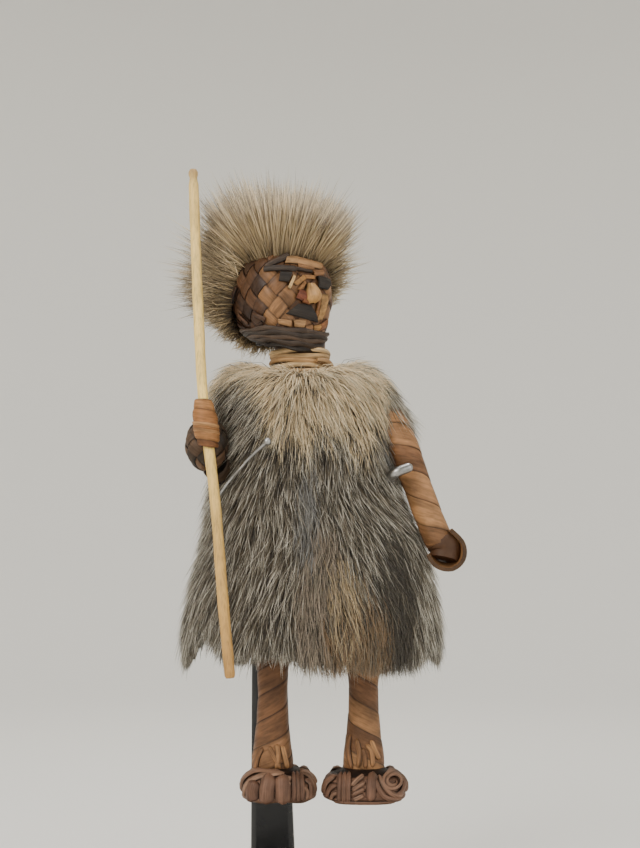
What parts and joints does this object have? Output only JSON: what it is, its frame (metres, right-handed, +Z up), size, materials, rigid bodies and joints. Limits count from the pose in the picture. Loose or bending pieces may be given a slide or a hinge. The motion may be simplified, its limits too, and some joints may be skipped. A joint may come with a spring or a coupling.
{
  "type": "plaited root doll with fur cloak on a post stand",
  "caption": "Small standing doll plaited from root strips, with fur hair, fur cloak and a wooden staff, held off its base by a black post with steel wire prongs.",
  "frame": {"origin": "centre of the base's underside", "axes": "+Z up, the figure faces -Y, +X towards the figure's left hand"},
  "size_m": [0.092, 0.092, 0.216],
  "materials": {
    "root_strip": "split root strips, tan to red-brown, dull with worn sheen",
    "dark_root_strip": "dark brown dyed root strips, dull",
    "pale_root_strip": "pale tan root strips, dull",
    "hair_fur": "long golden taupe fur with pale streaks and dark tips",
    "cloak_fur": "thick ticked grey fur, cream at the collar and brown at one side of the front",
    "staff_wood": "pale bare wood, fine straight grain",
    "stand_black": "gloss black paint",
    "cradle_steel": "bright steel wire"
  },
  "bodies": {
    "root": {"stand_base": "stand_black", "stand_post": "stand_black", "cradle_prong_staff_side": "cradle_steel", "cradle_prong_arm_side": "cradle_steel", "body": "root_strip", "head": "root_strip", "nose_fold": "root_strip", "left_arm": "root_strip", "right_arm": "root_strip", "hand_lashing": "root_strip", "left_foot": "root_strip", "right_foot": "root_strip", "jaw_band": "dark_root_strip", "brow_strip": "dark_root_strip", "near_eye_strip": "dark_root_strip", "far_eye_strip": "dark_root_strip", "mouth_strip": "dark_root_strip", "forehead_strip": "pale_root_strip", "lower_lip_strip": "pale_root_strip", "neck_wrap": "pale_root_strip", "hair_fur": "hair_fur", "cloak": "cloak_fur", "staff": "staff_wood"}
  },
  "joints": []
}
